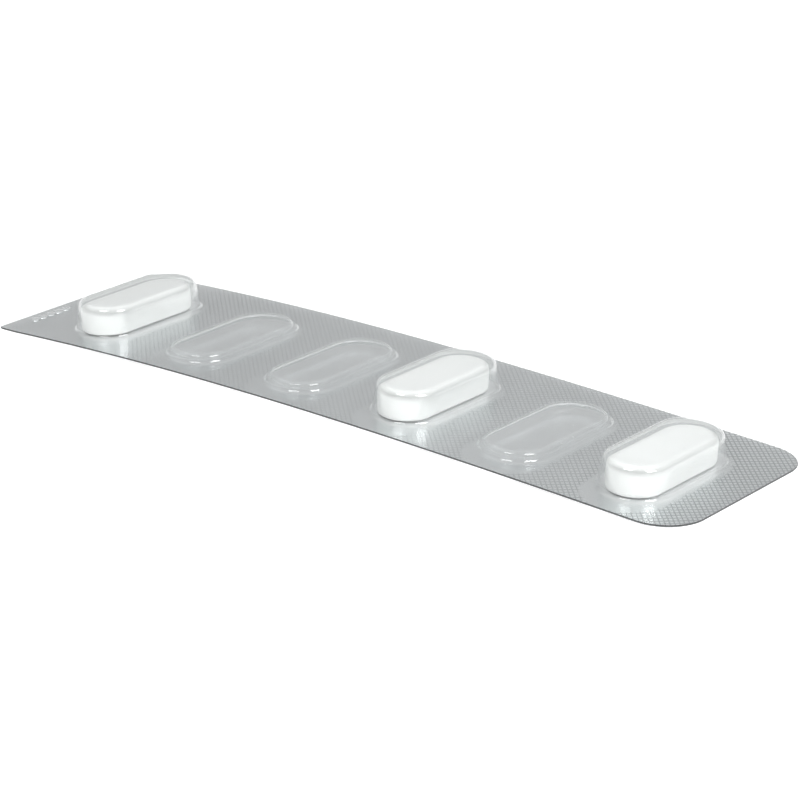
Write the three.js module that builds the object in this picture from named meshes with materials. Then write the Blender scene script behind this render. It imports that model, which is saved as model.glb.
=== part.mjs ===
// Tablet blister strip. A clear film has six oblong pockets in a row and is sealed to an aluminium foil.
// Pockets one, four and six are deep and each holds a tablet. The other three are shallow and empty.
// The strip is slightly bowed, so it lies on its two ends.
// Millimetres, +Z up. X runs along the row from the wide end margin to the narrow one, Y across it.
// The origin is the middle of the strip's outline, on the surface that the ends lie on.
import * as THREE from 'three';
import { mergeVertices } from 'three/addons/utils/BufferGeometryUtils.js';

// Sizes of the strip
const pocketPitch = 21;
const wideEndMargin = 16.7;
const narrowEndMargin = 13.6;
const stripWidth = 37;
const wideCornerRadius = 1.2;
const narrowCornerRadius = 7;
const pocketRowShift = -1.95;
const filmThickness = 0.25;
const foilThickness = 0.05;
const sealClearance = 0.05;

// The bow: its height over the middle, how much steeper the wide end falls, and the flat at each end
const bowRise = 1.75;
const bowSkew = 0.27;
const landingLength = 3;

// Deep pocket, outside sizes
const deepHeight = 5.25;
const deepRadius = 5.9;
const deepHalfStraight = 6.3;
const deepDraft = 0.5;
const deepTopFillet = 1.15;
const deepBaseFillet = 0.6;

// Shallow pocket, outside sizes
const shallowHeight = 1.65;
const shallowRadius = 5.9;
const shallowHalfStraight = 6.8;
const shallowDraft = 0.55;
const shallowTopFillet = 0.45;
const shallowBaseFillet = 0.45;

// Tablet
const tabletRadius = 4.45;
const tabletHalfStraight = 6.7;
const tabletThickness = 4.2;
const tabletEdgeHeight = 0.45;
const tabletEdgeWidth = 1.25;
const tabletClearance = 0.08;

// One entry for each pocket: whether it is deep, and where its tablet has slid to
const pockets = [
  { deep: true, tabletX: -0.5, tabletY: 0 },
  { deep: false },
  { deep: false },
  { deep: true, tabletX: -0.5, tabletY: -0.05 },
  { deep: false },
  { deep: true, tabletX: -0.2, tabletY: 0.05 },
];

// How finely the rims are divided: corner arcs, straight sides and end arcs
const cornerSteps = 5;
const straightSteps = 4;
const endSteps = 6;
const landSteps = 2;
const rimCornerAngle = THREE.MathUtils.degToRad(50);
const longestFoilStep = 5;

const stripLength = wideEndMargin + (pockets.length - 1) * pocketPitch + narrowEndMargin;
const wideEndX = -stripLength / 2;
const narrowEndX = stripLength / 2;
const filmBottom = foilThickness + sealClearance;
const filmTop = filmBottom + filmThickness;
const bowHalfSpan = stripLength / 2 - landingLength;

const pocketX = (index) => wideEndX + wideEndMargin + index * pocketPitch;

function bowHeight(x) {
  const u = x / bowHalfSpan;
  return Math.abs(u) < 1 ? bowRise * (1 - u * u) * (1 - bowSkew * u) : 0;
}

function bowSlope(x) {
  const u = x / bowHalfSpan;
  if (Math.abs(u) >= 1) return 0;
  return (bowRise * (-2 * u * (1 - bowSkew * u) - bowSkew * (1 - u * u))) / bowHalfSpan;
}

// Bends a point of the flat strip: its height is measured square to the bowed sheet
function bend(x, y, z) {
  const angle = Math.atan(bowSlope(x));
  return [x - z * Math.sin(angle), y, bowHeight(x) + z * Math.cos(angle)];
}

// Collects triangles and welds them into one closed body
class Skin {
  constructor() {
    this.corners = [];
  }

  triangle(a, b, c) {
    const same = (p, q) => Math.hypot(p[0] - q[0], p[1] - q[1], p[2] - q[2]) < 1e-6;
    if (same(a, b) || same(b, c) || same(c, a)) return;
    this.corners.push(...a, ...b, ...c);
  }

  quad(a, b, c, d) {
    this.triangle(a, b, c);
    this.triangle(a, c, d);
  }

  // Joins two rings of the same length, the first one outside or below the second
  band(outer, inner, flipped = false) {
    outer.forEach((point, k) => {
      const next = (k + 1) % outer.length;
      if (flipped) this.quad(point, inner[k], inner[next], outer[next]);
      else this.quad(point, outer[next], inner[next], inner[k]);
    });
  }

  geometry() {
    const loose = new THREE.BufferGeometry();
    loose.setAttribute('position', new THREE.Float32BufferAttribute(this.corners, 3));
    const welded = mergeVertices(loose, 1e-4);
    welded.computeVertexNormals();
    return welded;
  }
}

// The stations round an oblong: each has the centre of its arc, as a share of the straight, and a direction.
// They start at the rim's lower right corner and go round by the right, top, left and bottom sides.
function oblongStations() {
  const stations = [];
  const arc = (share, from, to, steps) => {
    for (let k = 0; k < steps; k += 1) stations.push({ share, angle: from + ((to - from) * k) / steps });
  };
  const straight = (from, to, angle) => {
    for (let k = 0; k < straightSteps; k += 1) {
      stations.push({ share: from + ((to - from) * k) / straightSteps, angle });
    }
  };
  const corner = rimCornerAngle;
  arc(-1, -corner, 0, cornerSteps);
  straight(-1, 1, 0);
  arc(1, 0, corner, cornerSteps);
  arc(1, corner, Math.PI - corner, endSteps);
  arc(1, Math.PI - corner, Math.PI, cornerSteps);
  straight(1, -1, Math.PI);
  arc(-1, Math.PI, Math.PI + corner, cornerSteps);
  arc(-1, Math.PI + corner, 2 * Math.PI - corner, endSteps);
  return stations;
}

const stations = oblongStations();
const sideSteps = 2 * cornerSteps + straightSteps;

// A flat oblong ring about a middle point; radius 0 gives the oblong's spine
function oblongRing(middleX, middleY, radius, halfStraight) {
  return stations.map(({ share, angle }) => [
    middleX + radius * Math.cos(angle),
    middleY + share * halfStraight + radius * Math.sin(angle),
  ]);
}

// The outline of one pocket's share of the strip, matched point for point with the pocket's rim
function cellRing(index) {
  const halfWidth = stripWidth / 2;
  const left = index === 0 ? wideEndX : pocketX(index) - pocketPitch / 2;
  const right = index === pockets.length - 1 ? narrowEndX : pocketX(index) + pocketPitch / 2;
  const leftRounded = index === 0;
  const rightRounded = index === pockets.length - 1;
  const points = [];
  const side = (x, direction, rounded) => {
    const cornerRadius = direction > 0 ? narrowCornerRadius : wideCornerRadius;
    const start = direction > 0 ? -Math.PI / 2 : Math.PI / 2;
    for (let k = 0; k < sideSteps; k += 1) {
      if (!rounded) {
        points.push([x, direction * (-halfWidth + (stripWidth * k) / sideSteps)]);
        continue;
      }
      const arcX = x - direction * cornerRadius;
      const arcY = halfWidth - cornerRadius;
      const late = k - cornerSteps - straightSteps;
      if (k < cornerSteps) {
        const angle = start + ((Math.PI / 2) * k) / cornerSteps;
        points.push([arcX + cornerRadius * Math.cos(angle), -direction * arcY + cornerRadius * Math.sin(angle)]);
      } else if (late < 0) {
        points.push([x, direction * (-arcY + (2 * arcY * (k - cornerSteps)) / straightSteps)]);
      } else {
        const angle = start + Math.PI / 2 + ((Math.PI / 2) * late) / cornerSteps;
        points.push([arcX + cornerRadius * Math.cos(angle), direction * arcY + cornerRadius * Math.sin(angle)]);
      }
    }
  };
  const edge = (y, from, to) => {
    for (let k = 0; k < endSteps; k += 1) points.push([from + ((to - from) * k) / endSteps, y]);
  };
  const edgeLeft = leftRounded ? left + wideCornerRadius : left;
  const edgeRight = rightRounded ? right - narrowCornerRadius : right;
  side(right, 1, rightRounded);
  edge(halfWidth, edgeRight, edgeLeft);
  side(left, -1, leftRounded);
  edge(-halfWidth, edgeLeft, edgeRight);
  return points;
}

// Whether a stretch of a cell's outline is the strip's own edge, and not shared with the next cell
function isStripEdge(index, k) {
  if (k < sideSteps) return index === pockets.length - 1;
  if (k < sideSteps + endSteps) return true;
  if (k < 2 * sideSteps + endSteps) return index === 0;
  return true;
}

const lift = (ring, height) => ring.map(([x, y]) => bend(x, y, height));

// Heights and radii up one face of a pocket's wall, from the flat sheet to the flat top
function wallProfile({ foot, height, radius, draft, topFillet, baseFillet, steps }) {
  const profile = [];
  for (let k = 0; k <= steps; k += 1) {
    const angle = ((Math.PI / 2) * k) / steps;
    profile.push([radius + baseFillet * (1 - Math.sin(angle)), foot + baseFillet * (1 - Math.cos(angle))]);
  }
  for (let k = 0; k <= steps; k += 1) {
    const angle = ((Math.PI / 2) * k) / steps;
    const shoulder = radius - draft - topFillet;
    profile.push([shoulder + topFillet * Math.cos(angle), height - topFillet * (1 - Math.sin(angle))]);
  }
  return profile;
}

function pocketProfiles(deep) {
  const outside = deep
    ? {
      height: filmBottom + deepHeight,
      radius: deepRadius,
      draft: deepDraft,
      topFillet: deepTopFillet,
      baseFillet: deepBaseFillet,
    }
    : {
      height: filmBottom + shallowHeight,
      radius: shallowRadius,
      draft: shallowDraft,
      topFillet: shallowTopFillet,
      baseFillet: shallowBaseFillet,
    };
  const inside = {
    height: outside.height - filmThickness,
    radius: outside.radius - filmThickness,
    draft: outside.draft,
    topFillet: Math.max(outside.topFillet - filmThickness, filmThickness / 2),
    baseFillet: outside.baseFillet + filmThickness,
  };
  return {
    outer: wallProfile({ ...outside, foot: filmTop, steps: 3 }),
    inner: wallProfile({ ...inside, foot: filmBottom, steps: 2 }),
  };
}

function formedFilm() {
  const skin = new Skin();
  pockets.forEach(({ deep }, index) => {
    const middleX = pocketX(index);
    const halfStraight = deep ? deepHalfStraight : shallowHalfStraight;
    const outline = cellRing(index);
    const face = (profile, level, flipped) => {
      const rim = oblongRing(middleX, pocketRowShift, profile[0][0], halfStraight);
      let previous = lift(outline, level);
      for (let k = 1; k <= landSteps; k += 1) {
        const share = k / landSteps;
        const ring = outline.map(([x, y], n) => [x + (rim[n][0] - x) * share, y + (rim[n][1] - y) * share]);
        const raised = lift(ring, level);
        skin.band(previous, raised, flipped);
        previous = raised;
      }
      profile.slice(1).concat([[0, profile.at(-1)[1]]]).forEach(([radius, height]) => {
        const raised = lift(oblongRing(middleX, pocketRowShift, radius, halfStraight), height);
        skin.band(previous, raised, flipped);
        previous = raised;
      });
    };
    const { outer, inner } = pocketProfiles(deep);
    face(outer, filmTop, false);
    face(inner, filmBottom, true);
    const low = lift(outline, filmBottom);
    const high = lift(outline, filmTop);
    outline.forEach((point, k) => {
      const next = (k + 1) % outline.length;
      if (isStripEdge(index, k)) skin.quad(low[k], low[next], high[next], high[k]);
    });
  });
  return skin.geometry();
}

// Where the foil is divided near one end, as distances from it: at the landing and through the corner arcs
function foilStepsFromEnd(cornerRadius) {
  const fromEnd = [landingLength];
  for (let k = 0; k <= cornerSteps; k += 1) {
    fromEnd.push(cornerRadius * (1 - Math.cos(((Math.PI / 2) * k) / cornerSteps)));
  }
  return fromEnd.sort((a, b) => a - b);
}

function foilStationsX() {
  const atWideEnd = foilStepsFromEnd(wideCornerRadius).map((distance) => wideEndX + distance);
  const atNarrowEnd = foilStepsFromEnd(narrowCornerRadius).map((distance) => narrowEndX - distance).reverse();
  const middleStart = atWideEnd.at(-1);
  const middleLength = atNarrowEnd[0] - middleStart;
  const middleSteps = Math.ceil(middleLength / longestFoilStep);
  const places = [...atWideEnd];
  for (let k = 1; k < middleSteps; k += 1) places.push(middleStart + (middleLength * k) / middleSteps);
  places.push(...atNarrowEnd);
  return places;
}

function halfWidthAt(x) {
  const cornerRadius = x > 0 ? narrowCornerRadius : wideCornerRadius;
  const intoCorner = Math.abs(x) - (stripLength / 2 - cornerRadius);
  if (intoCorner <= 0) return stripWidth / 2;
  const reach = Math.sqrt(Math.max(0, cornerRadius ** 2 - intoCorner ** 2));
  return stripWidth / 2 - cornerRadius + reach;
}

function liddingFoil() {
  const skin = new Skin();
  const sections = foilStationsX().map((x) => {
    const half = halfWidthAt(x);
    const corner = (y, z) => bend(x, y, z);
    return [corner(-half, 0), corner(half, 0), corner(half, foilThickness), corner(-half, foilThickness)];
  });
  for (let k = 1; k < sections.length; k += 1) {
    const [nearLow, farLow, farHigh, nearHigh] = sections[k - 1];
    const [nextNearLow, nextFarLow, nextFarHigh, nextNearHigh] = sections[k];
    skin.quad(nearHigh, nextNearHigh, nextFarHigh, farHigh);
    skin.quad(nearLow, farLow, nextFarLow, nextNearLow);
    skin.quad(nearLow, nextNearLow, nextNearHigh, nearHigh);
    skin.quad(farLow, farHigh, nextFarHigh, nextFarLow);
  }
  const first = sections[0];
  const last = sections.at(-1);
  skin.quad(first[0], first[3], first[2], first[1]);
  skin.quad(last[0], last[1], last[2], last[3]);
  return skin.geometry();
}

// A tablet about its own middle, standing on Z = 0, with the same soft sloping edge above and below
function tabletBody() {
  const skin = new Skin();
  const edge = [
    [tabletRadius - tabletEdgeWidth, 0],
    [tabletRadius - tabletEdgeWidth * 0.35, tabletEdgeHeight * 0.35],
    [tabletRadius, tabletEdgeHeight],
  ];
  const upper = edge.map(([radius, height]) => [radius, tabletThickness - height]).reverse();
  const profile = [[0, 0], ...edge, ...upper, [0, tabletThickness]];
  const rings = profile.map(([radius, height]) => (
    oblongRing(0, 0, radius, tabletHalfStraight).map(([x, y]) => [x, y, height])
  ));
  for (let k = 1; k < rings.length; k += 1) skin.band(rings[k - 1], rings[k]);
  return skin.geometry();
}

const clearFilm = new THREE.MeshStandardMaterial({ color: 0xeef1f2, roughness: 0.12, metalness: 0 });
clearFilm.transparent = true;
clearFilm.opacity = 0.35;
const aluminiumFoil = new THREE.MeshStandardMaterial({ color: 0xb4b5b6, roughness: 0.35, metalness: 1 });
const pressedPowder = new THREE.MeshStandardMaterial({ color: 0xf6f6f4, roughness: 0.6, metalness: 0 });

const blisterStrip = new THREE.Group();

function addPiece(name, geometry, material) {
  const piece = new THREE.Mesh(geometry, material);
  piece.name = name;
  blisterStrip.add(piece);
  return piece;
}

addPiece('lidding_foil', liddingFoil(), aluminiumFoil);
addPiece('formed_film', formedFilm(), clearFilm);
pockets.forEach(({ deep, tabletX, tabletY }, index) => {
  if (!deep) return;
  const tablet = addPiece(`tablet_${index + 1}`, tabletBody(), pressedPowder);
  const x = pocketX(index) + tabletX;
  tablet.position.set(...bend(x, pocketRowShift + tabletY, foilThickness + tabletClearance));
  tablet.rotation.y = -Math.atan(bowSlope(x));
});

export default blisterStrip;
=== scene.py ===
# Looks of the tablet blister strip: clear formed film, embossed foil and pressed tablets.
# The frame is in metres. Sizes here are in millimetres, and toMetres turns them when a mesh is made.
import math

import bmesh
import bpy
import numpy as np
from mathutils import Matrix, Vector


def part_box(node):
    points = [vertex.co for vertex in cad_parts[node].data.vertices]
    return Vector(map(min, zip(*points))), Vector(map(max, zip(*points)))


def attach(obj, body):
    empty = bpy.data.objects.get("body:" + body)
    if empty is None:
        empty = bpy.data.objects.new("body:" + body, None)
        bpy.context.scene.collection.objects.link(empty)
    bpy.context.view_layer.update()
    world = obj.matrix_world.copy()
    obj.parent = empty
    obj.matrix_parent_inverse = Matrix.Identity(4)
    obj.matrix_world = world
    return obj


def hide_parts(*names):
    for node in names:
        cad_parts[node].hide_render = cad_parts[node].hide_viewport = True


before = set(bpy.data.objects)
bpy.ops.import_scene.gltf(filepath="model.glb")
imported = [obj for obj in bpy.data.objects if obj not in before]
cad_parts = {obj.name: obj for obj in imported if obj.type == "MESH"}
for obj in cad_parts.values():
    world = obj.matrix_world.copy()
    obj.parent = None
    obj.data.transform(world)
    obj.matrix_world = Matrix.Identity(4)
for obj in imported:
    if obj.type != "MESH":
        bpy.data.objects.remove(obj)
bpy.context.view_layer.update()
toMetres = 0.001
bodyName = "root"

# The strip's own measures, as the solids have them
strip = {
    "pocketPitch": 21.0,
    "wideEndMargin": 16.7,
    "width": 37.0,
    "wideCornerRadius": 1.2,
    "narrowCornerRadius": 7.0,
    "pocketRowShift": -1.95,
    "filmThickness": 0.25,
    "filmBottom": 0.10,
    "bowRise": 1.75,
    "bowSkew": 0.27,
    "landingLength": 3.0,
    "landingSoftness": 0.12,  # rounds the bend where an end comes to lie flat
}
strip["length"] = (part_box("lidding_foil")[1][0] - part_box("lidding_foil")[0][0]) / toMetres
strip["filmTop"] = strip["filmBottom"] + strip["filmThickness"]

deepPocket = {
    "height": 5.25,
    "radius": 5.9,
    "halfStraight": 6.3,
    "draft": 0.5,
    "topFillet": 1.15,
    "baseFillet": 0.6,
    "crown": 0.06,  # how far the stretched top sags
}
shallowPocket = {
    "height": 1.65,
    "radius": 5.9,
    "halfStraight": 6.8,
    "draft": 0.5,
    "topFillet": 0.7,
    "baseFillet": 0.65,
    "crown": 0.04,
}
# One letter for each pocket along the row: d is deep and full, s is shallow and empty
pocketRow = [deepPocket if kind == "d" else shallowPocket for kind in "dssdsd"]
tabletPlaces = {0: (-0.5, 0.0), 3: (-0.5, -0.05), 5: (-0.2, 0.05)}


def pocketX(index):
    return -strip["length"] / 2 + strip["wideEndMargin"] + index * strip["pocketPitch"]


def bowAt(x):
    # height and slope of the bowed sheet, levelled out softly at the two ends
    halfSpan = strip["length"] / 2 - strip["landingLength"]
    u = x / halfSpan
    skew = strip["bowSkew"]
    arch = strip["bowRise"] * (1 - u * u) * (1 - skew * u)
    archSlope = strip["bowRise"] * (-2 * u * (1 - skew * u) - skew * (1 - u * u)) / halfSpan
    soft = np.sqrt(arch * arch + strip["landingSoftness"] ** 2)
    return (arch + soft) / 2, archSlope * (1 + arch / soft) / 2


def bend(points):
    # lays points of the flat strip on the bowed one
    points = np.asarray(points, float)
    height, slope = bowAt(points[:, 0])
    angle = np.arctan(slope)
    return np.column_stack([
        points[:, 0] - points[:, 2] * np.sin(angle),
        points[:, 1],
        height + points[:, 2] * np.cos(angle),
    ])


def srgb(code, alpha=1.0):
    channels = [int(code[k:k + 2], 16) / 255 for k in (1, 3, 5)]
    linear = [c / 12.92 if c <= 0.04045 else ((c + 0.055) / 1.055) ** 2.4 for c in channels]
    return (*linear, alpha)


def addNode(tree, kind, settings=None, links=None, **attributes):
    # settings go to input sockets; links are pairs of an input and the output that feeds it
    node = tree.nodes.new(kind)
    for name, value in attributes.items():
        setattr(node, name, value)
    for name, value in (settings or {}).items():
        node.inputs[name].default_value = value
    for name, source in (links or {}).items():
        tree.links.new(source, node.inputs[name])
    return node


def noiseScale(size):
    # a noise texture's scale for cells of this many millimetres
    return 1 / (size * toMetres)


def newMaterial(name):
    material = bpy.data.materials.new(name)
    material.use_nodes = True
    material.node_tree.nodes.clear()
    return material, material.node_tree


def makeObject(name, points, faces, materials, faceMaterials=None, sharpAngle=40):
    mesh = bpy.data.meshes.new(name)
    mesh.from_pydata((np.asarray(points) * toMetres).tolist(), [], faces)
    for material in materials:
        mesh.materials.append(material)
    if faceMaterials is not None:
        mesh.polygons.foreach_set("material_index", faceMaterials)
    work = bmesh.new()
    work.from_mesh(mesh)
    bmesh.ops.remove_doubles(work, verts=work.verts, dist=1e-6)
    bmesh.ops.recalc_face_normals(work, faces=work.faces)
    work.to_mesh(mesh)
    work.free()
    mesh.polygons.foreach_set("use_smooth", [True] * len(mesh.polygons))
    mesh.set_sharp_from_angle(angle=math.radians(sharpAngle))
    mesh.update()
    piece = bpy.data.objects.new(name, mesh)
    bpy.context.scene.collection.objects.link(piece)
    return piece


# Camera, at the photograph's viewing angle
cameraView = {
    "azimuth": 38.82,
    "elevation": 20.83,
    "roll": -0.37,
    "focalPixels": 2901.7,
    "imageSize": 800,
    "sensorWidth": 36.0,
    "originSeen": (-2.61, 1.57, -456.03),  # the strip's origin in the camera's own axes
}


def placeCamera():
    azimuth, elevation, roll = (math.radians(cameraView[k]) for k in ("azimuth", "elevation", "roll"))
    back = Vector((
        math.sin(azimuth) * math.cos(elevation),
        -math.cos(azimuth) * math.cos(elevation),
        math.sin(elevation),
    ))
    right = Vector((math.cos(azimuth), math.sin(azimuth), 0))
    up = back.cross(right)
    turn = Matrix.Rotation(roll, 3, "Z") @ Matrix((right, up, back))
    place = -(turn.transposed() @ Vector(cameraView["originSeen"])) * toMetres
    data = bpy.data.cameras.new("photoCamera")
    data.sensor_width = cameraView["sensorWidth"]
    data.lens = cameraView["focalPixels"] / cameraView["imageSize"] * data.sensor_width
    data.clip_start = 0.01
    camera = bpy.data.objects.new("photoCamera", data)
    camera.matrix_world = Matrix.Translation(place) @ turn.transposed().to_4x4()
    bpy.context.scene.collection.objects.link(camera)
    bpy.context.scene.camera = camera


placeCamera()
print("camera placed")

# Lidding foil: soft aluminium, 20 microns, sealed with a knurled plate that presses rows of square pits.
# The eye gets a grey satin sheet, crossed by fine bright and dark lines where a facet turns to the light,
# the dark ones deepened by painted shade along the pits' borders.
foilKnurl = {
    "spacingSteep": 0.70,
    "spacingShallow": 0.94,  # the real rows are about 0.75 apart, too close to show at this picture size
    "direction": 45.0,
    "pitDepth": 0.06,
    "thickness": 0.02,
    "plainRing": 0.35,  # unpressed ring round each pocket's foot
    "ringFade": 0.3,
    "nearReach": 3.0,  # how far the unpressed ring reaches out before a pocket's near end
    "roughness": (0.28, 0.36),
    "cloudSize": 16.7,
    "lightTone": "#F2F2F3",
    "darkTone": "#E9EAEB",
    "creasePaintedShadeTone": "#A0A3A6",  # painted shade along the pits' borders, darkening the lines the facets make
    "creasePaintedShadeWidth": 0.22,
    # The plate has pressed harder towards the narrow end: place along the strip, and how hard
    "pressAlong": {-56.0: 0.0, -46.0: 0.5, -30.0: 0.35, -5.0: 0.25, 12.0: 0.45, 42.0: 0.6, 56.0: 1.0},
}


# Clear film: rigid PVC about a quarter of a millimetre thick, vacuum formed hot over a smooth die.
# The eye gets near-perfect clearness, thin bright lines on every rounded edge, partly real gloss and partly
# a painted highlight on the bends and walls, and a dark cut edge in painted shade.
filmLook = {
    "ior": 1.54,
    "gloss": 0.05,             # how much it mirrors straight on, which follows from its IOR
    "roughness": 0.10,
    "tint": "#FAFBFB",
    "edgeOnTintAndPaintedShade": "#E6E8E9",   # partly painted shade: seen edge on the sheet greys, for the long way through it and in place of the dark lines that bent light gives at the bends
    "pressedRelief": 0.015,    # where the sealing plate has also marked the film
    # the haze's colour, also used for the painted highlight on bends and walls
    "hazeAndPaintedHighlightTone": "#F4F5F5",
    "stretchHaze": 0.02,       # the drawn walls are a little cloudy, and more so seen edge on
    "edgeOnHaze": 0.10,
    "bendPaintedHighlight": 0.9,           # painted highlight: a white share on the inner side of a top bend, in place of the bright line of light bent round inside the sheet
    "rimPaintedHighlight": 0.12,           # and its outer side, all of a deep pocket's outer side, and the raised pips
    "wallPaintedHighlight": 0.22,          # and the inner wall of a deep pocket
    # painted shade: the dark tones given to the cut edge
    "cutEdgePaintedShadeTones": ("#2C2E2F", "#424546"),
    "cutGrain": 1.11,
    "cutRoughness": 0.45,
}


def pitDistance(tree):
    # 0 in the middle of each pit and 0.5 on its border, on the turned grid of the sealing plate
    coordinate = addNode(tree, "ShaderNodeTexCoord")
    spacing = (foilKnurl["spacingSteep"] * toMetres, foilKnurl["spacingShallow"] * toMetres, 1)
    grid = addNode(tree, "ShaderNodeMapping", {
        "Rotation": (0, 0, math.radians(foilKnurl["direction"])), "Scale": spacing},
        {"Vector": coordinate.outputs["Object"]}, vector_type="TEXTURE")
    split = addNode(tree, "ShaderNodeSeparateXYZ", None, {"Vector": grid.outputs[0]})
    ways = [addNode(tree, "ShaderNodeMath", {1: 0.5}, {0: split.outputs[axis]}, operation="PINGPONG")
            for axis in "XY"]
    return addNode(tree, "ShaderNodeMath", None, {0: ways[0].outputs[0], 1: ways[1].outputs[0]},
                   operation="MAXIMUM").outputs[0]


def pressedRelief(tree):
    # pitDistance ends at 0.5, so twice the relief here gives its full depth
    return addNode(tree, "ShaderNodeBump", {
        "Strength": 1.0, "Distance": filmLook["pressedRelief"] * 2 * toMetres},
        {"Height": pitDistance(tree)})


def clearFilmMaterial(name, pressed=False, paintedLight=0.0):
    # a clear sheet mirrors more the more edge on it is seen, by about the fifth power
    material, tree = newMaterial(name)
    facing = addNode(tree, "ShaderNodeLayerWeight", {"Blend": 0.5})
    fifth = addNode(tree, "ShaderNodeMath", {1: 5.0}, {0: facing.outputs["Facing"]}, operation="POWER")
    mirror = addNode(
        tree, "ShaderNodeMath", {1: 1 - filmLook["gloss"], 2: filmLook["gloss"]},
        {0: fifth.outputs[0]}, operation="MULTIPLY_ADD")
    # painted shade: the see-through colour greys as the sheet is seen more edge on
    tint = addNode(tree, "ShaderNodeMix", {6: srgb(filmLook["tint"]), 7: srgb(filmLook["edgeOnTintAndPaintedShade"])},
                   {"Factor": fifth.outputs[0]}, data_type="RGBA")
    clear = addNode(tree, "ShaderNodeBsdfTransparent", None, {"Color": tint.outputs[2]})
    gloss = addNode(tree, "ShaderNodeBsdfAnisotropic", {
        "Color": srgb("#FFFFFF"), "Roughness": filmLook["roughness"]})
    if pressed:
        tree.links.new(pressedRelief(tree).outputs[0], gloss.inputs["Normal"])
    else:
        cloud = addNode(tree, "ShaderNodeBsdfDiffuse", {"Color": srgb(filmLook["hazeAndPaintedHighlightTone"])})
        haze = addNode(tree, "ShaderNodeMath", {1: filmLook["edgeOnHaze"], 2: filmLook["stretchHaze"]},
                       {0: fifth.outputs[0]}, operation="MULTIPLY_ADD")
        share = haze
        # painted highlight: the front faces of bends and walls get a white diffuse share, in place of light
        # bent round inside the sheet
        if paintedLight:
            inward = addNode(tree, "ShaderNodeNewGeometry")
            glow = addNode(tree, "ShaderNodeMapRange", {"To Min": paintedLight, "To Max": 0.0},
                           {"Value": inward.outputs["Backfacing"]})
            share = addNode(tree, "ShaderNodeMath", None, {0: haze.outputs[0], 1: glow.outputs[0]})
        clear = addNode(tree, "ShaderNodeMixShader", None, {
            "Fac": share.outputs[0], 1: clear.outputs[0], 2: cloud.outputs[0]})
    mix = addNode(tree, "ShaderNodeMixShader", None, {
        "Fac": mirror.outputs[0], 1: clear.outputs[0], 2: gloss.outputs[0]})
    addNode(tree, "ShaderNodeOutputMaterial", None, {"Surface": mix.outputs[0]})
    return material


def cutEdgeMaterial():
    # painted shade: the punched edge is coloured dark, as light gets lost inside the sheet and it looks
    # dark from outside
    material, tree = newMaterial("punchedFilmEdgePaintedShade")
    coordinate = addNode(tree, "ShaderNodeTexCoord")
    grain = addNode(tree, "ShaderNodeTexNoise", {"Scale": noiseScale(filmLook["cutGrain"]), "Detail": 2.0},
                    {"Vector": coordinate.outputs["Object"]})
    dark, light = filmLook["cutEdgePaintedShadeTones"]
    tone = addNode(tree, "ShaderNodeMix", {6: srgb(dark), 7: srgb(light)},
                   {"Factor": grain.outputs["Fac"]}, data_type="RGBA")
    surface = addNode(tree, "ShaderNodeBsdfPrincipled", {
        "Roughness": filmLook["cutRoughness"], "IOR": filmLook["ior"]}, {"Base Color": tone.outputs[2]})
    inward = addNode(tree, "ShaderNodeNewGeometry")
    clear = addNode(tree, "ShaderNodeBsdfTransparent", {"Color": srgb(filmLook["tint"])})
    mix = addNode(tree, "ShaderNodeMixShader", None, {
        "Fac": inward.outputs["Backfacing"], 1: surface.outputs[0], 2: clear.outputs[0]})
    addNode(tree, "ShaderNodeOutputMaterial", None, {"Surface": mix.outputs[0]})
    return material


# Steps of the film's mesh: corner arcs, straights, end arcs, the flat land and the fillets
filmMesh = {"corner": 12, "straight": 10, "end": 16, "land": 6, "fillet": 8, "top": 6, "cornerAngle": 50}


def oblongStations():
    corner = math.radians(filmMesh["cornerAngle"])
    pieces = [
        (-1, -1, -corner, 0, filmMesh["corner"]),
        (-1, 1, 0, 0, filmMesh["straight"]),
        (1, 1, 0, corner, filmMesh["corner"]),
        (1, 1, corner, math.pi - corner, filmMesh["end"]),
        (1, 1, math.pi - corner, math.pi, filmMesh["corner"]),
        (1, -1, math.pi, math.pi, filmMesh["straight"]),
        (-1, -1, math.pi, math.pi + corner, filmMesh["corner"]),
        (-1, -1, math.pi + corner, 2 * math.pi - corner, filmMesh["end"]),
    ]
    share = np.concatenate([np.linspace(a, b, n, endpoint=False) for a, b, c, d, n in pieces])
    angle = np.concatenate([np.linspace(c, d, n, endpoint=False) for a, b, c, d, n in pieces])
    return share, angle


shareRound, angleRound = oblongStations()


def oblongRing(middleX, middleY, radius, halfStraight):
    return np.column_stack([
        middleX + radius * np.cos(angleRound),
        middleY + shareRound * halfStraight + radius * np.sin(angleRound),
    ])


def sidePath(x, direction, rounded):
    # one short side of a pocket's share of the strip; direction 1 runs up in Y and -1 down
    half = strip["width"] / 2
    corner, straight = filmMesh["corner"], filmMesh["straight"]
    radius = strip["narrowCornerRadius"] if direction > 0 else strip["wideCornerRadius"]
    if not rounded:
        y = np.linspace(-half, half, 2 * corner + straight, endpoint=False) * direction
        return np.column_stack([np.full(len(y), x), y])
    arcY = half - radius
    early = np.linspace(-math.pi / 2, 0, corner, endpoint=False)
    late = np.linspace(0, math.pi / 2, corner, endpoint=False)
    y = np.linspace(-arcY, arcY, straight, endpoint=False)
    path = np.vstack([
        np.column_stack([radius * (np.cos(early) - 1), -arcY + radius * np.sin(early)]),
        np.column_stack([np.zeros(straight), y]),
        np.column_stack([radius * (np.cos(late) - 1), arcY + radius * np.sin(late)]),
    ])
    return path * direction + [x, 0]


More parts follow.
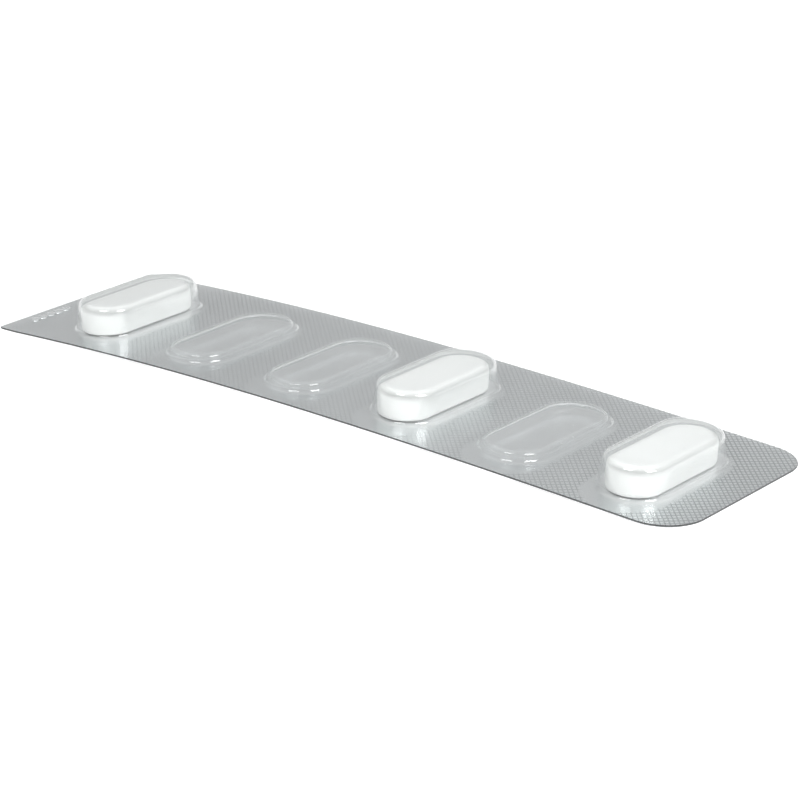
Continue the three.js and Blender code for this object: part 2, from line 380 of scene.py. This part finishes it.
def cellRing(index):
    last = len(pocketRow) - 1
    left = -strip["length"] / 2 if index == 0 else pocketX(index) - strip["pocketPitch"] / 2
    right = strip["length"] / 2 if index == last else pocketX(index) + strip["pocketPitch"] / 2
    edgeLeft = left + (strip["wideCornerRadius"] if index == 0 else 0)
    edgeRight = right - (strip["narrowCornerRadius"] if index == last else 0)
    half = strip["width"] / 2
    farEdge = np.linspace(edgeRight, edgeLeft, filmMesh["end"], endpoint=False)
    nearEdge = np.linspace(edgeLeft, edgeRight, filmMesh["end"], endpoint=False)
    return np.vstack([
        sidePath(right, 1, index == last),
        np.column_stack([farEdge, np.full(len(farEdge), half)]),
        sidePath(left, -1, index == 0),
        np.column_stack([nearEdge, np.full(len(nearEdge), -half)]),
    ])


def onStripEdge(index):
    # which stretches of a cell's outline are the strip's own edge
    side = 2 * filmMesh["corner"] + filmMesh["straight"]
    ends = filmMesh["end"]
    last = len(pocketRow) - 1
    return [index == last] * side + [True] * ends + [index == 0] * side + [True] * ends


def pocketFace(index, inside):
    # rings from the cell's outline over the land, up the wall and across the top
    pocket = pocketRow[index]
    wall = strip["filmThickness"] if inside else 0
    level = strip["filmBottom"] if inside else strip["filmTop"]
    radius = pocket["radius"] - wall
    baseFillet = pocket["baseFillet"] + wall
    topFillet = max(pocket["topFillet"] - wall, strip["filmThickness"] / 2)
    top = strip["filmBottom"] + pocket["height"] - wall
    turn = np.linspace(0, math.pi / 2, filmMesh["fillet"] + 1)
    profile = [(radius + baseFillet * (1 - math.sin(a)), level + baseFillet * (1 - math.cos(a)))
               for a in turn]
    shoulder = radius - pocket["draft"] - topFillet
    profile += [(shoulder + topFillet * math.cos(a), top - topFillet * (1 - math.sin(a))) for a in turn]
    for k in range(1, filmMesh["top"] + 1):
        share = k / filmMesh["top"]
        profile.append((shoulder * (1 - share), top - pocket["crown"] * (1 - (1 - share) ** 2)))
    outline = cellRing(index)
    middle = (pocketX(index), strip["pocketRowShift"])
    plain = oblongRing(*middle, profile[0][0] + foilKnurl["plainRing"], pocket["halfStraight"])
    rings = [np.column_stack([outline + (plain - outline) * share, np.full(len(outline), level)])
             for share in np.linspace(0, 1, filmMesh["land"] + 1)]
    for ringRadius, height in profile:
        ring = oblongRing(*middle, ringRadius, pocket["halfStraight"])
        rings.append(np.column_stack([ring, np.full(len(ring), height)]))
    return rings


# Small raised marks: a row of plain pips by the wide end, in film and foil alike,
# and a few powder crumbs under the fifth pocket
smallMarks = {
    "pipCount": 5,
    "pipSpacing": 1.8,
    "firstPip": (-65.4, -11.9),
    "pipRadius": 0.80,
    "pipRise": 0.10,
    "pipSunk": 0.03,       # how far its foot goes into the film
    "pipRiseBelow": 0.19,  # the same pip in the foil, which fills the film's
    "pipInset": 0.12,
    "foilLevel": 0.07,     # just under the foil's upper face
    "crumbRadius": 0.20,
    "crumbRise": 0.07,
    "crumbPlaces": ((29.6, 9.2), (33.6, 4.4), (36.3, 0.6), (36.4, -2.6)),
    "steps": 14,
    "rings": 4,
}


def pipRow(level, radius, rise):
    x, y = smallMarks["firstPip"]
    spacing = smallMarks["pipSpacing"]
    return [(x, y + spacing * k, level, radius, rise) for k in range(smallMarks["pipCount"])]


def filmMarks():
    return pipRow(strip["filmTop"] - smallMarks["pipSunk"], smallMarks["pipRadius"], smallMarks["pipRise"])


def foilMarks():
    level = smallMarks["foilLevel"]
    crumbs = [(x, y, level, smallMarks["crumbRadius"], smallMarks["crumbRise"])
              for x, y in smallMarks["crumbPlaces"]]
    pipRadius = smallMarks["pipRadius"] - smallMarks["pipInset"]
    return crumbs + pipRow(level, pipRadius, smallMarks["pipRiseBelow"])


def domeShell(x, y, level, radius, rise, start):
    # a closed low dome on a flat foot; its faces count their points from start
    steps, rings = smallMarks["steps"], smallMarks["rings"]
    points = [(x, y, level), (x, y, level + rise)]
    for ring in range(rings):
        lift = math.pi / 2 * ring / rings
        reach = radius * math.cos(lift)
        height = level + rise * math.sin(lift)
        for k in range(steps):
            angle = 2 * math.pi * k / steps
            points.append((x + reach * math.cos(angle), y + reach * math.sin(angle), height))
    faces = []
    top = (rings - 1) * steps
    for k in range(steps):
        a = start + 2 + k
        b = start + 2 + (k + 1) % steps
        faces.append([start, b, a])
        faces += [[a + low, b + low, b + low + steps, a + low + steps] for low in range(0, top, steps)]
        faces.append([a + top, b + top, start + 1])
    return points, faces


def filmSlot(index, inside, ring):
    # 0 clear, 1 sealed land, 2 cut edge in painted shade, 3 inner bend, 4 outer bend, 5 a deep pocket's
    # inner wall; 3 to 5 carry a painted highlight
    wall = filmMesh["land"] + filmMesh["fillet"] + 1
    lastBend = wall + filmMesh["fillet"]
    deep = pocketRow[index] is deepPocket
    if inside:
        if wall < ring <= lastBend:
            return 3
        return 5 if deep and ring == wall else 0
    if ring == lastBend or (deep and ring >= wall):
        return 4
    return int(ring <= filmMesh["land"])


def formedFilm(materials):
    points, faces, faceMaterials = [], [], []
    count = len(angleRound)
    for index in range(len(pocketRow)):
        starts = []
        for inside in (False, True):
            rings = pocketFace(index, inside)
            start = sum(len(p) for p in points)
            starts.append(start)
            points.extend(rings)
            for ring in range(len(rings) - 1):
                for k in range(count):
                    n = (k + 1) % count
                    a, b = start + ring * count, start + (ring + 1) * count
                    quad = [a + k, a + n, b + n, b + k]
                    faces.append(quad[::-1] if inside else quad)
                    faceMaterials.append(filmSlot(index, inside, ring))
        for k, edge in enumerate(onStripEdge(index)):
            if edge:
                n = (k + 1) % count
                faces.append([starts[1] + k, starts[1] + n, starts[0] + n, starts[0] + k])
                faceMaterials.append(2)
    for mark in filmMarks():
        more, domeFaces = domeShell(*mark, sum(len(p) for p in points))
        points.append(more)
        faces += domeFaces
        faceMaterials += [4] * len(domeFaces)
    return makeObject("clear_film", bend(np.vstack(points)), faces, materials, faceMaterials)


film = formedFilm([
    clearFilmMaterial("clearRigidPvcFilm"),
    clearFilmMaterial("pressedRigidPvcFilm", pressed=True),
    cutEdgeMaterial(),
    clearFilmMaterial("innerBendFilmPaintedHighlight", paintedLight=filmLook["bendPaintedHighlight"]),
    clearFilmMaterial("outerBendFilmPaintedHighlight", paintedLight=filmLook["rimPaintedHighlight"]),
    clearFilmMaterial("drawnWallFilmPaintedHighlight", paintedLight=filmLook["wallPaintedHighlight"]),
])
print("film formed", len(film.data.polygons), "faces")


def foilMaterial():
    # the painted shade along the pits' borders fades out with the point attribute "press", which says how
    # hard the plate has pressed
    material, tree = newMaterial("softAluminiumFoil")
    coordinate = addNode(tree, "ShaderNodeTexCoord")
    cloud = addNode(tree, "ShaderNodeTexNoise", {
        "Scale": noiseScale(foilKnurl["cloudSize"]), "Detail": 4.0},
        {"Vector": coordinate.outputs["Object"]})
    tone = addNode(tree, "ShaderNodeMix", {6: srgb(foilKnurl["darkTone"]), 7: srgb(foilKnurl["lightTone"])},
                   {"Factor": cloud.outputs["Fac"]}, data_type="RGBA")
    border = addNode(tree, "ShaderNodeMapRange", {
        "From Min": 0.5 - foilKnurl["creasePaintedShadeWidth"], "From Max": 0.5}, {"Value": pitDistance(tree)})
    press = addNode(tree, "ShaderNodeAttribute", attribute_name="press")
    share = addNode(tree, "ShaderNodeMath", None, {0: border.outputs[0], 1: press.outputs["Fac"]},
                    operation="MULTIPLY")
    # painted shade: the pits' borders are darkened in the foil's colour
    paintedCreaseShade = addNode(tree, "ShaderNodeMix", {7: srgb(foilKnurl["creasePaintedShadeTone"])}, {
        "Factor": share.outputs[0], 6: tone.outputs[2]}, data_type="RGBA")
    smoothest, roughest = foilKnurl["roughness"]
    dull = addNode(tree, "ShaderNodeMapRange", {"To Min": smoothest, "To Max": roughest},
                   {"Value": cloud.outputs["Fac"]})
    surface = addNode(tree, "ShaderNodeBsdfPrincipled", {"Metallic": 1.0}, {
        "Base Color": paintedCreaseShade.outputs[2], "Roughness": dull.outputs[0]})
    addNode(tree, "ShaderNodeOutputMaterial", None, {"Surface": surface.outputs[0]})
    return material


def knurlTree():
    # rows of square pits on a turned grid, cleared outside the strip's rectangle
    tree = bpy.data.node_groups.new("knurlPits", "GeometryNodeTree")
    face = tree.interface
    face.new_socket("Geometry", in_out="OUTPUT", socket_type="NodeSocketGeometry")
    for name in ("Spacing Steep", "Spacing Shallow", "Pit Depth", "Turn", "Reach X", "Reach Y"):
        face.new_socket(name, in_out="INPUT", socket_type="NodeSocketFloat")
    for name in ("Rows Steep", "Rows Shallow"):
        face.new_socket(name, in_out="INPUT", socket_type="NodeSocketInt")
    face.new_socket("Material", in_out="INPUT", socket_type="NodeSocketMaterial")
    given = addNode(tree, "NodeGroupInput").outputs

    def math2(operation, a, b):
        node = addNode(tree, "ShaderNodeMath", operation=operation)
        for k, value in enumerate((a, b)):
            if isinstance(value, (int, float)):
                node.inputs[k].default_value = value
            else:
                tree.links.new(value, node.inputs[k])
        return node.outputs[0]

    sizeX = math2("MULTIPLY", math2("SUBTRACT", given["Rows Steep"], 1), given["Spacing Steep"])
    sizeY = math2("MULTIPLY", math2("SUBTRACT", given["Rows Shallow"], 1), given["Spacing Shallow"])
    grid = addNode(tree, "GeometryNodeMeshGrid", None, {
        "Size X": sizeX, "Size Y": sizeY,
        "Vertices X": given["Rows Steep"], "Vertices Y": given["Rows Shallow"]})
    turnVector = addNode(tree, "ShaderNodeCombineXYZ", None, {"Z": given["Turn"]})
    turned = addNode(tree, "GeometryNodeTransform", None, {
        "Geometry": grid.outputs["Mesh"], "Rotation": turnVector.outputs[0]})
    place = addNode(tree, "GeometryNodeInputPosition")
    split = addNode(tree, "ShaderNodeSeparateXYZ", None, {"Vector": place.outputs[0]})
    beyondX = math2("GREATER_THAN", math2("ABSOLUTE", split.outputs["X"], 0), given["Reach X"])
    beyondY = math2("GREATER_THAN", math2("ABSOLUTE", split.outputs["Y"], 0), given["Reach Y"])
    kept = addNode(tree, "GeometryNodeDeleteGeometry", None, {
        "Geometry": turned.outputs[0], "Selection": math2("MAXIMUM", beyondX, beyondY)}, domain="POINT")
    # a four-sided cone on a square of side 1, which scales to one cell of the grid
    pit = addNode(tree, "GeometryNodeMeshCone", {
        "Vertices": 4, "Radius Top": 0.0, "Radius Bottom": math.sqrt(0.5)},
        {"Depth": given["Pit Depth"]}, fill_type="NONE")
    cellScale = addNode(tree, "ShaderNodeCombineXYZ", {"Z": -1.0}, {
        "X": given["Spacing Steep"], "Y": given["Spacing Shallow"]})
    square = addNode(tree, "GeometryNodeTransform", {"Rotation": (0, 0, math.pi / 4)}, {
        "Geometry": pit.outputs["Mesh"]})
    sunk = addNode(tree, "GeometryNodeTransform", None, {
        "Geometry": square.outputs[0], "Scale": cellScale.outputs[0]})
    copies = addNode(tree, "GeometryNodeInstanceOnPoints", None, {
        "Points": kept.outputs[0], "Instance": sunk.outputs[0], "Rotation": turnVector.outputs[0]})
    real = addNode(tree, "GeometryNodeRealizeInstances", None, {"Geometry": copies.outputs[0]})
    coated = addNode(tree, "GeometryNodeSetMaterial", None, {
        "Geometry": real.outputs[0], "Material": given["Material"]})
    addNode(tree, "NodeGroupOutput", None, {"Geometry": coated.outputs[0]})
    return tree


def meshFromTree(tree, values):
    # runs a tree on an empty mesh and returns what it makes
    holder = bpy.data.objects.new("treeHolder", bpy.data.meshes.new("treeHolder"))
    bpy.context.scene.collection.objects.link(holder)
    modifier = holder.modifiers.new("tree", "NODES")
    modifier.node_group = tree
    names = {s.name: s.identifier for s in tree.interface.items_tree if s.in_out == "INPUT"}
    for name, value in values.items():
        modifier[names[name]] = value
    bpy.context.view_layer.update()
    made = bpy.data.meshes.new_from_object(holder.evaluated_get(bpy.context.evaluated_depsgraph_get()))
    bpy.data.objects.remove(holder)
    return made


def pressMask(x, y):
    # 1 where the sealing plate has pressed the foil, 0 over the pockets and the plain ring round them
    mask = np.ones(len(x))
    for index, pocket in enumerate(pocketRow):
        alongY = y - strip["pocketRowShift"]
        reach = np.where(alongY < 0, -alongY - foilKnurl["nearReach"], alongY)
        past = np.maximum(reach - pocket["halfStraight"], 0)
        distance = np.hypot(x - pocketX(index), past) - pocket["radius"] - pocket["baseFillet"]
        share = np.clip((distance - foilKnurl["plainRing"]) / foilKnurl["ringFade"] + 0.5, 0, 1)
        mask = np.minimum(mask, share * share * (3 - 2 * share))
    return mask * np.interp(x, list(foilKnurl["pressAlong"]), list(foilKnurl["pressAlong"].values()))


def outlinePlanes():
    # the outline is convex, so a ring of cutting lines gives it, each a point and an outward direction
    half = Vector((strip["length"] / 2, strip["width"] / 2))
    planes = [(Vector((half.x, 0)), Vector((1, 0))), (Vector((-half.x, 0)), Vector((-1, 0))),
              (Vector((0, half.y)), Vector((0, 1))), (Vector((0, -half.y)), Vector((0, -1)))]
    steps = 10
    for sideX, radius in ((-1, strip["wideCornerRadius"]), (1, strip["narrowCornerRadius"])):
        for sideY in (-1, 1):
            for k in range(steps):
                angle = math.pi / 2 * (k + 0.5) / steps
                out = Vector((sideX * math.cos(angle), sideY * math.sin(angle)))
                middle = Vector((sideX * (half.x - radius), sideY * (half.y - radius)))
                planes.append((middle + out * radius, out))
    return planes


def embossedFoil(material):
    reachX = strip["length"] / 2 + 1
    reachY = strip["width"] / 2 + 1
    diagonal = (reachX + reachY) * math.sqrt(2)
    sheet = meshFromTree(knurlTree(), {
        "Spacing Steep": foilKnurl["spacingSteep"],
        "Spacing Shallow": foilKnurl["spacingShallow"],
        "Pit Depth": foilKnurl["pitDepth"],
        "Turn": math.radians(foilKnurl["direction"]),
        "Reach X": reachX,
        "Reach Y": reachY,
        "Rows Steep": 2 * int(diagonal / foilKnurl["spacingSteep"] / 2) + 1,
        "Rows Shallow": 2 * int(diagonal / foilKnurl["spacingShallow"] / 2) + 1,
        "Material": material,
    })
    work = bmesh.new()
    work.from_mesh(sheet)
    bmesh.ops.remove_doubles(work, verts=work.verts, dist=foilKnurl["pitDepth"] / 10)
    for place, out in outlinePlanes():
        everything = list(work.verts) + list(work.edges) + list(work.faces)
        bmesh.ops.bisect_plane(work, geom=everything, dist=1e-5, plane_co=place.to_3d(),
                               plane_no=out.to_3d(), clear_outer=True)
    bmesh.ops.triangulate(work, faces=work.faces)
    work.verts.index_update()
    upper = np.array([v.co for v in work.verts])
    triangles = [[v.index for v in f.verts] for f in work.faces]
    upside = np.mean([f.normal.z for f in work.faces]) > 0
    rim = [[e.verts[0].index, e.verts[1].index] for e in work.edges if len(e.link_faces) == 1]
    work.free()
    bpy.data.meshes.remove(sheet)
    if not upside:
        triangles = [t[::-1] for t in triangles]
    upper[:, 2] *= pressMask(upper[:, 0], upper[:, 1])
    upper[:, 2] += foilKnurl["pitDepth"] + foilKnurl["thickness"]
    lower = upper - [0, 0, foilKnurl["thickness"]]
    count = len(upper)
    faces = triangles + [[i + count for i in reversed(t)] for t in triangles]
    faces += [[a, b, b + count, a + count] for a, b in rim]
    points = [upper, lower]
    for mark in foilMarks():
        more, domeFaces = domeShell(*mark, sum(len(p) for p in points))
        points.append(more)
        faces += domeFaces
    # the small sharp angle keeps every facet of the pits flat
    piece = makeObject("embossed_foil", bend(np.vstack(points)), faces, [material], sharpAngle=2)
    places = np.array([v.co for v in piece.data.vertices]) / toMetres
    press = piece.data.attributes.new("press", "FLOAT", "POINT")
    press.data.foreach_set("value", pressMask(places[:, 0], places[:, 1]))
    return piece


foil = embossedFoil(foilMaterial())
print("foil pressed", len(foil.data.polygons), "faces")

# Tablets: white powder pressed in a polished die, so the faces are smooth and the edge band is upright.
# The eye gets a bright even white with a soft sloping rim that catches the lamps.
tabletForm = {
    "radius": 4.45,
    "halfStraight": 6.7,
    "thickness": 4.2,
    "edgeHeight": 0.45,
    "underEdgeHeight": 0.2,
    "edgeWidth": 1.25,
    "edgeBend": 0.35,     # where the sloping rim turns steeper, as a share of its width and of its drop
    "seat": 0.13,         # how high the underside lies on the flat sheet
    "soften": 0.9,
    "softenSteps": 4,
    "tones": ("#F3F3F1", "#F9F9F8"),
    "patchSize": 3.33,
    "grainSize": 0.25,    # coarser than the real powder, so that it shows
    "grainRelief": 0.05,
    "roughness": 0.42,
}


def tabletMaterial():
    material, tree = newMaterial("pressedWhitePowder")
    coordinate = addNode(tree, "ShaderNodeTexCoord")
    grain = addNode(tree, "ShaderNodeTexNoise", {
        "Scale": noiseScale(tabletForm["grainSize"]), "Detail": 3.0},
        {"Vector": coordinate.outputs["Object"]})
    patch = addNode(tree, "ShaderNodeTexNoise", {
        "Scale": noiseScale(tabletForm["patchSize"]), "Detail": 2.0},
        {"Vector": coordinate.outputs["Object"]})
    dark, light = tabletForm["tones"]
    tone = addNode(tree, "ShaderNodeMix", {6: srgb(dark), 7: srgb(light)},
                   {"Factor": patch.outputs["Fac"]}, data_type="RGBA")
    bump = addNode(tree, "ShaderNodeBump", {
        "Strength": 0.12, "Distance": tabletForm["grainRelief"] * toMetres},
        {"Height": grain.outputs["Fac"]})
    surface = addNode(tree, "ShaderNodeBsdfPrincipled", {
        "Roughness": tabletForm["roughness"], "IOR": 1.5},
        {"Base Color": tone.outputs[2], "Normal": bump.outputs[0]})
    addNode(tree, "ShaderNodeOutputMaterial", None, {"Surface": surface.outputs[0]})
    return material


def roundedProfile(corners, reach, steps):
    # a polyline with each inner corner rounded by a small parabola, which takes under half of a side
    mostOfSide = 0.45
    path = [corners[0]]
    for before, corner, after in zip(corners, corners[1:], corners[2:]):
        before, corner, after = (np.array(p, float) for p in (before, corner, after))
        toBefore = before - corner
        toAfter = after - corner
        a = corner + toBefore * min(reach / np.linalg.norm(toBefore), mostOfSide)
        b = corner + toAfter * min(reach / np.linalg.norm(toAfter), mostOfSide)
        for t in np.linspace(0, 1, steps + 1):
            path.append(tuple((1 - t) ** 2 * a + 2 * t * (1 - t) * corner + t * t * b))
    path.append(corners[-1])
    return path


def pressedTablet(index, material):
    form = tabletForm
    inner = form["radius"] - form["edgeWidth"]
    middle = form["radius"] - form["edgeWidth"] * form["edgeBend"]
    lower, upper = ([(0, 0), (inner, 0), (middle, rise * form["edgeBend"]), (form["radius"], rise)]
                    for rise in (form["underEdgeHeight"], form["edgeHeight"]))
    upper = [(r, form["thickness"] - h) for r, h in reversed(upper)]
    profile = roundedProfile(lower + upper, form["soften"], form["softenSteps"])
    rings = [np.column_stack([oblongRing(0, 0, r, form["halfStraight"]), np.full(len(angleRound), h)])
             for r, h in profile]
    count = len(angleRound)
    faces = [[ring * count + k, ring * count + (k + 1) % count,
              (ring + 1) * count + (k + 1) % count, (ring + 1) * count + k]
             for ring in range(len(rings) - 1) for k in range(count)]
    shiftX, shiftY = tabletPlaces[index]
    x = pocketX(index) + shiftX
    slope = bowAt(x)[1]
    foot = bend([[x, strip["pocketRowShift"] + shiftY, form["seat"]]])[0]
    tilt = np.array(Matrix.Rotation(-math.atan(slope), 3, "Y"))
    points = np.vstack(rings) @ tilt.T + foot
    return makeObject(f"pressed_tablet_{index + 1}", points, faces, [material])


powder = tabletMaterial()
tablets = {index: pressedTablet(index, powder) for index in tabletPlaces}
print("tablets pressed", len(tablets))

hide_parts("formed_film")
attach(film, bodyName)
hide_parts("lidding_foil")
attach(foil, bodyName)
for index, tablet in tablets.items():
    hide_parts(f"tablet_{index + 1}")
    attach(tablet, bodyName)

# Studio: a pale floor, a surround that is brighter overhead, and a soft box on each side of the camera
studio = {
    "floorSize": 8.0,
    "floorDrop": 0.02,          # millimetres under the strip
    "floorTones": ("#F2F2F2", "#F4F4F3"),
    "floorPatch": 333.0,
    "floorGlow": 0.5,           # the floor is a lit table, so it takes no shadow
    # light from the surround, by the sine of the height
    "backdrop": {-0.05: 1.2, 0.10: 1.1, 0.24: 0.46, 0.36: 0.49, 0.42: 0.58, 0.54: 0.70, 0.80: 1.2},
    "front": 0.40,              # the duller room behind the camera
    "frontEdge": (-0.5, 0.3),   # where it gives way to the backdrop
    "boxDistance": 0.75,
    "boxSizes": ((0.34, 0.30), (0.36, 0.42)),
    "boxPowers": (1.9, 3.95),
    "boxAzimuths": (2.0, 77.0),   # turned from -Y towards +X
    "boxElevations": (45.0, 36.0),
}


def floorMaterial():
    material, tree = newMaterial("palePaintedFloor")
    coordinate = addNode(tree, "ShaderNodeTexCoord")
    cloud = addNode(tree, "ShaderNodeTexNoise", {"Scale": noiseScale(studio["floorPatch"])},
                    {"Vector": coordinate.outputs["Object"]})
    dark, light = studio["floorTones"]
    tone = addNode(tree, "ShaderNodeMix", {6: srgb(dark), 7: srgb(light)},
                   {"Factor": cloud.outputs["Fac"]}, data_type="RGBA")
    surface = addNode(tree, "ShaderNodeBsdfDiffuse", None, {"Color": tone.outputs[2]})
    glow = addNode(tree, "ShaderNodeEmission", {"Strength": studio["floorGlow"]},
                   {"Color": tone.outputs[2]})
    both = addNode(tree, "ShaderNodeAddShader", None, {0: surface.outputs[0], 1: glow.outputs[0]})
    addNode(tree, "ShaderNodeOutputMaterial", None, {"Surface": both.outputs[0]})
    return material


def surroundWorld():
    # a backdrop that is bright low down behind the strip and overhead, and a duller room behind the camera
    world = bpy.data.worlds.new("studioRoom")
    world.use_nodes = True
    tree = world.node_tree
    tree.nodes.clear()
    direction = addNode(tree, "ShaderNodeTexCoord").outputs["Generated"]
    split = addNode(tree, "ShaderNodeSeparateXYZ", None, {"Vector": direction})
    spread = addNode(tree, "ShaderNodeMapRange", {"From Min": -1.0, "From Max": 1.0},
                     {"Value": split.outputs["Z"]})
    ramp = addNode(tree, "ShaderNodeValToRGB", None, {"Fac": spread.outputs[0]})
    stops = list(studio["backdrop"].items())
    while len(ramp.color_ramp.elements) < len(stops):
        ramp.color_ramp.elements.new(0.5)
    for element, (height, level) in zip(ramp.color_ramp.elements, stops):
        element.position = (height + 1) / 2
        element.color = (level, level, level, 1)
    azimuth = math.radians(cameraView["azimuth"])
    behind = addNode(tree, "ShaderNodeVectorMath", {1: (-math.sin(azimuth), math.cos(azimuth), 0)},
                     {0: direction}, operation="DOT_PRODUCT")
    nearEdge, farEdge = studio["frontEdge"]
    share = addNode(tree, "ShaderNodeMapRange", {"From Min": nearEdge, "From Max": farEdge},
                    {"Value": behind.outputs["Value"]}, interpolation_type="SMOOTHSTEP")
    front = studio["front"]
    level = addNode(tree, "ShaderNodeMix", {6: (front, front, front, 1)}, {
        "Factor": share.outputs[0], 7: ramp.outputs[0]}, data_type="RGBA")
    back = addNode(tree, "ShaderNodeBackground", None, {"Color": level.outputs[2]})
    addNode(tree, "ShaderNodeOutputWorld", None, {"Surface": back.outputs[0]})
    return world


def buildStudio():
    half = studio["floorSize"] / 2 / toMetres
    low = -studio["floorDrop"]
    corners = [(-half, -half, low), (half, -half, low), (half, half, low), (-half, half, low)]
    floor = makeObject("floor", corners, [[0, 1, 2, 3]], [floorMaterial()])
    scene = bpy.context.scene
    scene.world = surroundWorld()
    boxes = zip(studio["boxAzimuths"], studio["boxElevations"], studio["boxSizes"], studio["boxPowers"])
    for number, (azimuth, height, size, power) in enumerate(boxes):
        light = bpy.data.lights.new(f"softBox{number}", "AREA")
        light.shape = "RECTANGLE"
        light.size, light.size_y = size
        light.energy = power
        turn = math.radians(azimuth)
        elevation = math.radians(height)
        towards = Vector((math.sin(turn) * math.cos(elevation), -math.cos(turn) * math.cos(elevation),
                          math.sin(elevation)))
        lamp = bpy.data.objects.new(f"softBox{number}", light)
        lamp.location = towards * studio["boxDistance"]
        lamp.rotation_euler = towards.to_track_quat("Z", "Y").to_euler()
        scene.collection.objects.link(lamp)
    scene.view_settings.view_transform = "Standard"
    scene.cycles.transparent_max_bounces = 24


buildStudio()
print("studio lit")
